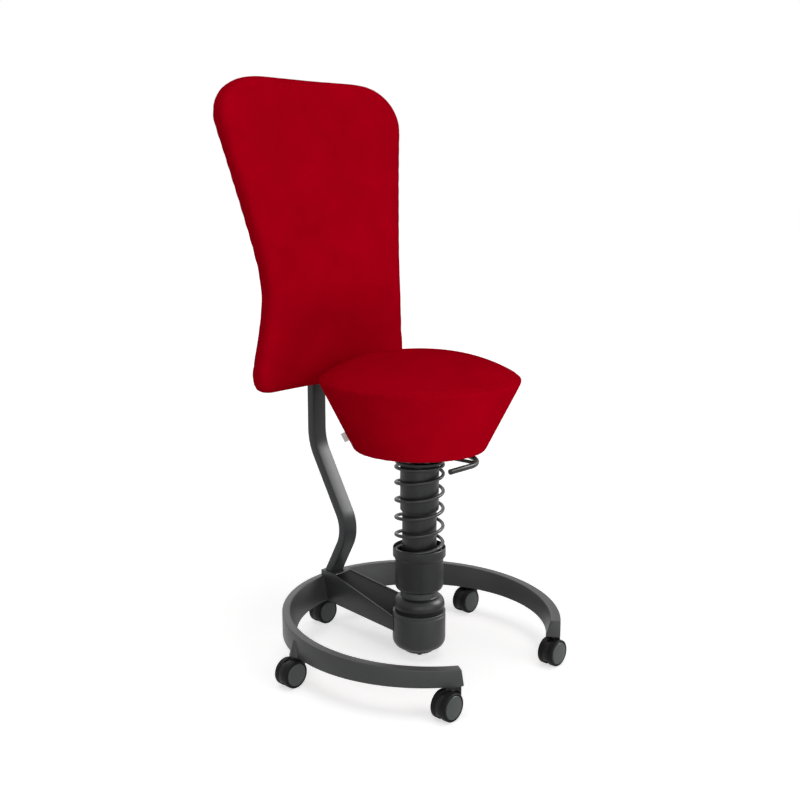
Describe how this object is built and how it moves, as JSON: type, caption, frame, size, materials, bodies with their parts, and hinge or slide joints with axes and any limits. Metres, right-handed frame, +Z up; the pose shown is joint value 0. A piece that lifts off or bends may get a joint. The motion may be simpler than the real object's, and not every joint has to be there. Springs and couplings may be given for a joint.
{
  "type": "balance stool with backrest",
  "caption": "Round leaning stool on a sprung column, with a C-shaped castor base and a tall curved backrest.",
  "frame": {"origin": "on the floor under the column's axis", "axes": "+Z up, -Y towards the open front of the base, +X to the right as seen from the front"},
  "size_m": [0.5987, 0.6012, 1.18],
  "materials": {
    "powder_coated_aluminium": "dark grey powder coat",
    "powder_coated_steel": "dark grey powder coat",
    "dark_steel": "black paint",
    "bright_steel": "ground",
    "zinc_steel": "zinc plated",
    "spring_steel": "satin black",
    "black_plastic": "fine grain",
    "satin_black_plastic": "satin",
    "castor_plastic": "satin",
    "castor_tread": "satin",
    "black_rubber": "matte",
    "plywood": "plain",
    "red_fabric": "fine short pile",
    "white_fabric": "woven"
  },
  "bodies": {
    "base": {"base_ring": "powder_coated_aluminium", "base_arm": "powder_coated_aluminium", "arm_cover": "black_plastic", "hub_housing": "powder_coated_aluminium", "hub_bottom_cap": "black_plastic", "hub_cap_screws": "zinc_steel", "elastomer_ring": "black_rubber", "pivot_post": "dark_steel", "backrest_bar": "powder_coated_steel", "bar_end_plug": "black_plastic", "backrest_bracket": "dark_steel", "bracket_bolts": "zinc_steel", "board_screws": "zinc_steel", "backrest_board": "black_plastic", "backrest_cushion": "red_fabric", "castor_stems": "zinc_steel"},
    "lean_cross": {"pivot_cross": "bright_steel"},
    "column": {"column_foot": "dark_steel", "tilt_dome": "satin_black_plastic", "spring_cup": "satin_black_plastic", "lower_tube": "dark_steel", "coil_spring": "spring_steel"},
    "sleeve": {"upper_sleeve": "satin_black_plastic", "guide_bush": "black_plastic", "spring_collar": "satin_black_plastic", "gas_guide_tube": "dark_steel", "gas_bush": "black_plastic", "thrust_bearing": "bright_steel"},
    "piston": {"piston_rod": "bright_steel", "rod_clip": "zinc_steel"},
    "seat": {"gas_cylinder": "dark_steel", "seat_plate": "dark_steel", "seat_bolts": "zinc_steel", "seat_board": "plywood", "seat_cushion": "red_fabric", "seat_tag": "white_fabric"},
    "lever": {"lift_lever": "dark_steel"},
    "button": {"release_button": "bright_steel"},
    "castor_rear": {"castor_hood_rear": "castor_plastic", "castor_axle_rear": "bright_steel"},
    "wheel_front_rear": {"front_wheel_rear": "castor_tread"},
    "wheel_rear_rear": {"rear_wheel_rear": "castor_tread"},
    "castor_left_side": {"castor_hood_left_side": "castor_plastic", "castor_axle_left_side": "bright_steel"},
    "wheel_front_left_side": {"front_wheel_left_side": "castor_tread"},
    "wheel_rear_left_side": {"rear_wheel_left_side": "castor_tread"},
    "castor_left_front": {"castor_hood_left_front": "castor_plastic", "castor_axle_left_front": "bright_steel"},
    "wheel_front_left_front": {"front_wheel_left_front": "castor_tread"},
    "wheel_rear_left_front": {"rear_wheel_left_front": "castor_tread"},
    "castor_right_front": {"castor_hood_right_front": "castor_plastic", "castor_axle_right_front": "bright_steel"},
    "wheel_front_right_front": {"front_wheel_right_front": "castor_tread"},
    "wheel_rear_right_front": {"rear_wheel_right_front": "castor_tread"},
    "castor_right_side": {"castor_hood_right_side": "castor_plastic", "castor_axle_right_side": "bright_steel"},
    "wheel_front_right_side": {"front_wheel_right_side": "castor_tread"},
    "wheel_rear_right_side": {"rear_wheel_right_side": "castor_tread"}
  },
  "joints": [
    {"name": "lean_fore_aft", "type": "hinge", "parent": "base", "child": "lean_cross", "pos_m": [0, 0, 0.104], "axis": [1, 0, 0], "range_deg": [-1.5, 5], "stiffness_Nm_per_rad": 400},
    {"name": "lean_sideways", "type": "hinge", "parent": "lean_cross", "child": "column", "pos_m": [0, 0, 0.104], "axis": [0, 1, 0], "range_deg": [-5, 5], "stiffness_Nm_per_rad": 400},
    {"name": "spring_bounce", "type": "slide", "parent": "column", "child": "sleeve", "axis": [0, 0, 1], "range_m": [-0.045, 0], "stiffness_N_per_m": 5300, "springref_m": 0.03, "deforming": ["coil_spring"]},
    {"name": "seat_swivel", "type": "hinge", "parent": "sleeve", "child": "piston", "pos_m": [0, 0, 0.21], "axis": [0, 0, 1], "continuous": true},
    {"name": "seat_lift", "type": "slide", "parent": "piston", "child": "seat", "axis": [0, 0, 1], "range_m": [0, 0.1]},
    {"name": "lever_lift", "type": "hinge", "parent": "seat", "child": "lever", "pos_m": [0, -0.034, 0.43], "axis": [-1, 0, 0], "range_deg": [0, 4], "stiffness_Nm_per_rad": 3, "springref_deg": -8.59},
    {"name": "button_press", "type": "slide", "parent": "seat", "child": "button", "axis": [0, 0, 1], "range_m": [-0.0026, 0]},
    {"name": "swivel_rear", "type": "hinge", "parent": "base", "child": "castor_rear", "pos_m": [0, 0.275, 0.059], "axis": [0, 0, 1], "continuous": true},
    {"name": "roll_front_rear", "type": "hinge", "parent": "castor_rear", "child": "wheel_front_rear", "pos_m": [-0.017, 0.275, 0.0275], "axis": [0, 1, 0], "continuous": true},
    {"name": "roll_rear_rear", "type": "hinge", "parent": "castor_rear", "child": "wheel_rear_rear", "pos_m": [-0.017, 0.275, 0.0275], "axis": [0, 1, 0], "continuous": true},
    {"name": "swivel_left_side", "type": "hinge", "parent": "base", "child": "castor_left_side", "pos_m": [-0.26725, 0.08083, 0.059], "axis": [0, 0, 1], "continuous": true},
    {"name": "roll_front_left_side", "type": "hinge", "parent": "castor_left_side", "child": "wheel_front_left_side", "pos_m": [-0.28425, 0.08083, 0.0275], "axis": [0, 1, 0], "continuous": true},
    {"name": "roll_rear_left_side", "type": "hinge", "parent": "castor_left_side", "child": "wheel_rear_left_side", "pos_m": [-0.28425, 0.08083, 0.0275], "axis": [0, 1, 0], "continuous": true},
    {"name": "swivel_left_front", "type": "hinge", "parent": "base", "child": "castor_left_front", "pos_m": [-0.16517, -0.23333, 0.059], "axis": [0, 0, 1], "continuous": true},
    {"name": "roll_front_left_front", "type": "hinge", "parent": "castor_left_front", "child": "wheel_front_left_front", "pos_m": [-0.18217, -0.23333, 0.0275], "axis": [0, 1, 0], "continuous": true},
    {"name": "roll_rear_left_front", "type": "hinge", "parent": "castor_left_front", "child": "wheel_rear_left_front", "pos_m": [-0.18217, -0.23333, 0.0275], "axis": [0, 1, 0], "continuous": true},
    {"name": "swivel_right_front", "type": "hinge", "parent": "base", "child": "castor_right_front", "pos_m": [0.16517, -0.23333, 0.059], "axis": [0, 0, 1], "continuous": true},
    {"name": "roll_front_right_front", "type": "hinge", "parent": "castor_right_front", "child": "wheel_front_right_front", "pos_m": [0.14817, -0.23333, 0.0275], "axis": [0, 1, 0], "continuous": true},
    {"name": "roll_rear_right_front", "type": "hinge", "parent": "castor_right_front", "child": "wheel_rear_right_front", "pos_m": [0.14817, -0.23333, 0.0275], "axis": [0, 1, 0], "continuous": true},
    {"name": "swivel_right_side", "type": "hinge", "parent": "base", "child": "castor_right_side", "pos_m": [0.26725, 0.08083, 0.059], "axis": [0, 0, 1], "continuous": true},
    {"name": "roll_front_right_side", "type": "hinge", "parent": "castor_right_side", "child": "wheel_front_right_side", "pos_m": [0.25025, 0.08083, 0.0275], "axis": [0, 1, 0], "continuous": true},
    {"name": "roll_rear_right_side", "type": "hinge", "parent": "castor_right_side", "child": "wheel_rear_right_side", "pos_m": [0.25025, 0.08083, 0.0275], "axis": [0, 1, 0], "continuous": true}
  ],
  "couplings": [
    {"joint": "button_press", "follows": "lever_lift", "m_per_rad": -0.034}
  ]
}
